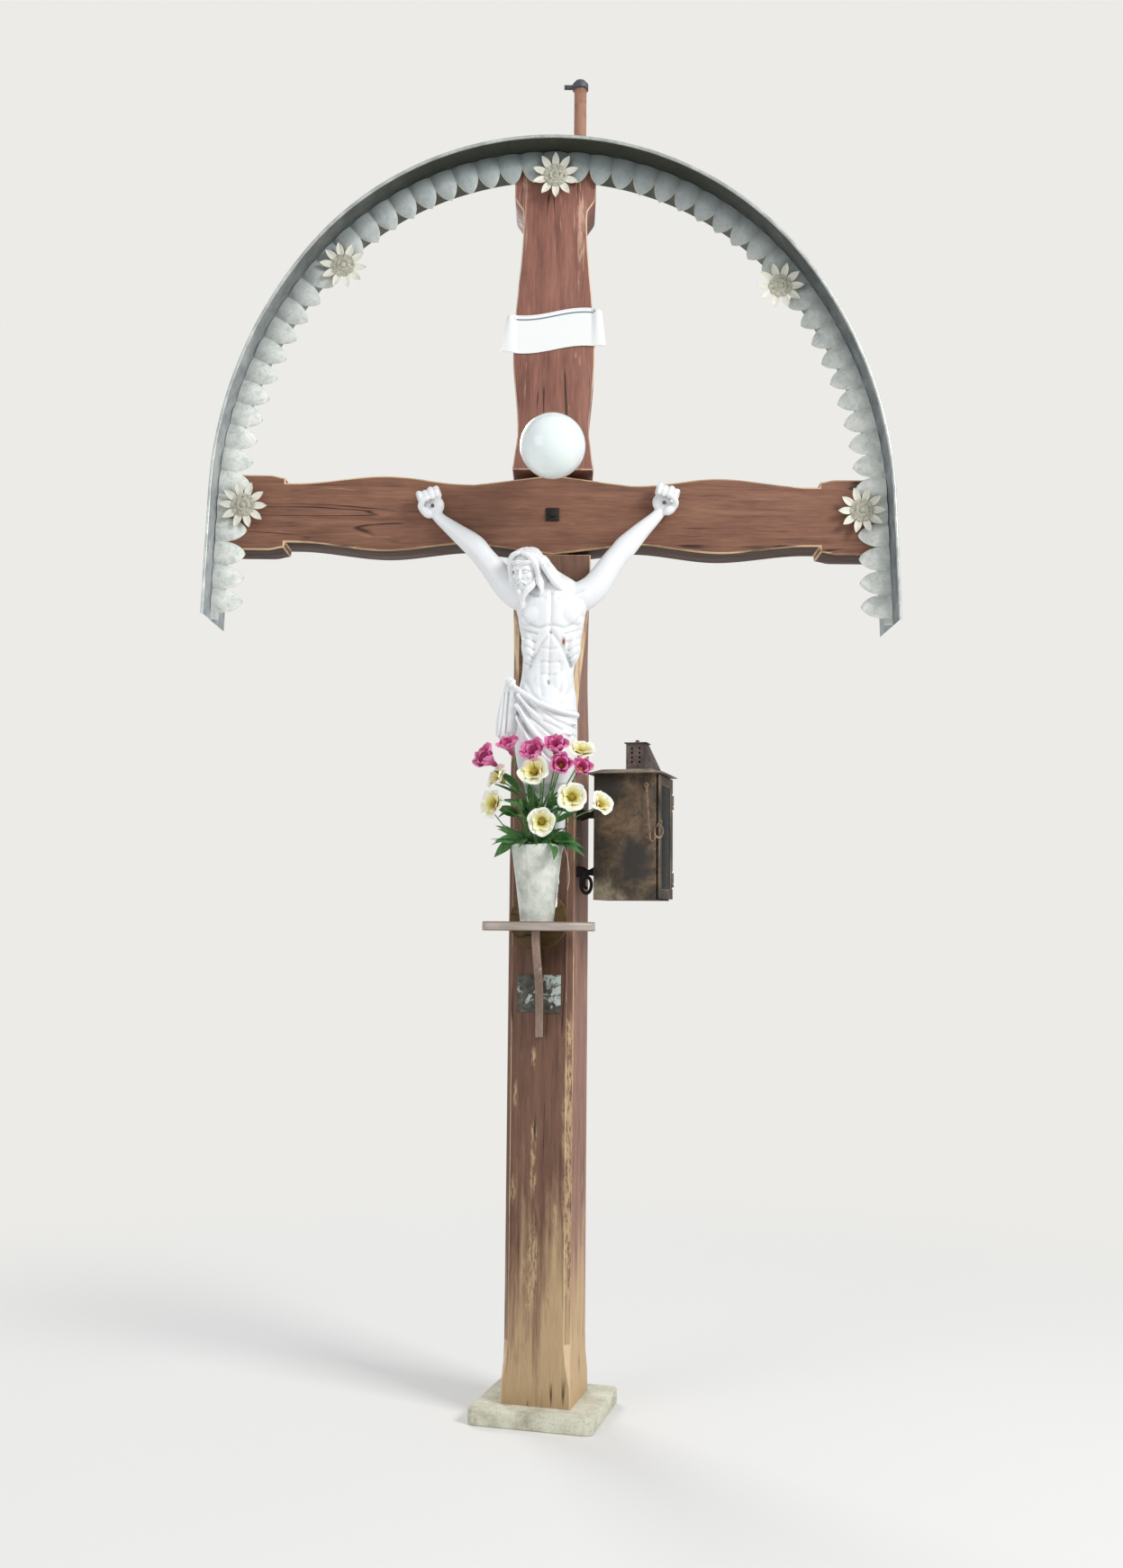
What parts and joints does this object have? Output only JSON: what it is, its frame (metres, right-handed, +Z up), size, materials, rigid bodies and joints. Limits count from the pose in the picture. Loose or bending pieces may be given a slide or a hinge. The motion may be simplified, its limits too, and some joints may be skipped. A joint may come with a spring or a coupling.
{
  "type": "wayside shrine",
  "caption": "Timber wayside cross under an arched zinc roof with a scalloped valance, a cast figure, a globe lamp, a flower shelf and a grave lantern with a hinged door.",
  "frame": {"origin": "under the middle of the post, on the underside of the footing stone", "axes": "+Z up along the post, -Y towards the front with the figure, +X to the right of someone who faces it"},
  "size_m": [2.1684, 0.6342, 4.37],
  "materials": {
    "stone": "rough",
    "brown_wood": "worn brown paint",
    "dark_iron": "blackened",
    "zinc": "dull galvanised",
    "pale_zinc": "chalky off-white",
    "rusty_steel": "rusty",
    "white_enamel": "glossy enamel",
    "porcelain": "dark brown glaze",
    "opal_glass": "opal",
    "silver_paint": "silver-white paint",
    "ochre_wood": "worn",
    "grey_wood": "weathered",
    "grey_plate": "worn",
    "green_silk": "silk leaves",
    "magenta_silk": "silk petals",
    "white_silk": "silk petals",
    "rusty_sheet": "rusty sheet steel",
    "clear_glass": "dusty"
  },
  "bodies": {
    "shrine": {"footing_stone": "stone", "post": "brown_wood", "crossbeam": "brown_wood", "washer_plate": "dark_iron", "upper_arm": "brown_wood", "roof_sheet_left": "zinc", "roof_sheet_right": "zinc", "roof_hem_left": "zinc", "roof_hem_right": "zinc", "valance_left": "zinc", "valance_right": "zinc", "rosette_crown": "pale_zinc", "rosette_upper_left": "pale_zinc", "rosette_upper_right": "pale_zinc", "rosette_lower_left": "pale_zinc", "rosette_lower_right": "pale_zinc", "mast_pipe": "rusty_steel", "mast_head": "dark_iron", "mast_clamps": "dark_iron", "title_scroll": "white_enamel", "lamp_base": "porcelain", "lamp_globe": "opal_glass", "figure_body": "silver_paint", "figure_arm_left": "silver_paint", "figure_arm_right": "silver_paint", "nails": "dark_iron", "foot_console": "ochre_wood", "shelf_board": "grey_wood", "shelf_bracket": "grey_wood", "small_plate": "grey_plate", "vase": "zinc", "bouquet_greens": "green_silk", "magenta_blooms": "magenta_silk", "white_blooms": "white_silk", "lantern_body": "rusty_sheet", "lantern_roof": "rusty_sheet", "lantern_vent": "rusty_sheet", "lantern_brackets": "dark_iron"},
    "door": {"lantern_door": "rusty_sheet", "lantern_glass": "clear_glass"},
    "hook": {"latch_hook": "dark_iron"}
  },
  "joints": [
    {"name": "lantern_door", "type": "hinge", "parent": "shrine", "child": "door", "pos_m": [0.38851, -0.00605, 1.773], "axis": [0, 0, 1], "range_deg": [0, 100]},
    {"name": "latch_hook", "type": "hinge", "parent": "shrine", "child": "hook", "pos_m": [0.29607, -0.20093, 1.93], "axis": [0.2672, 0.9636, 0], "range_deg": [0, 75]}
  ]
}
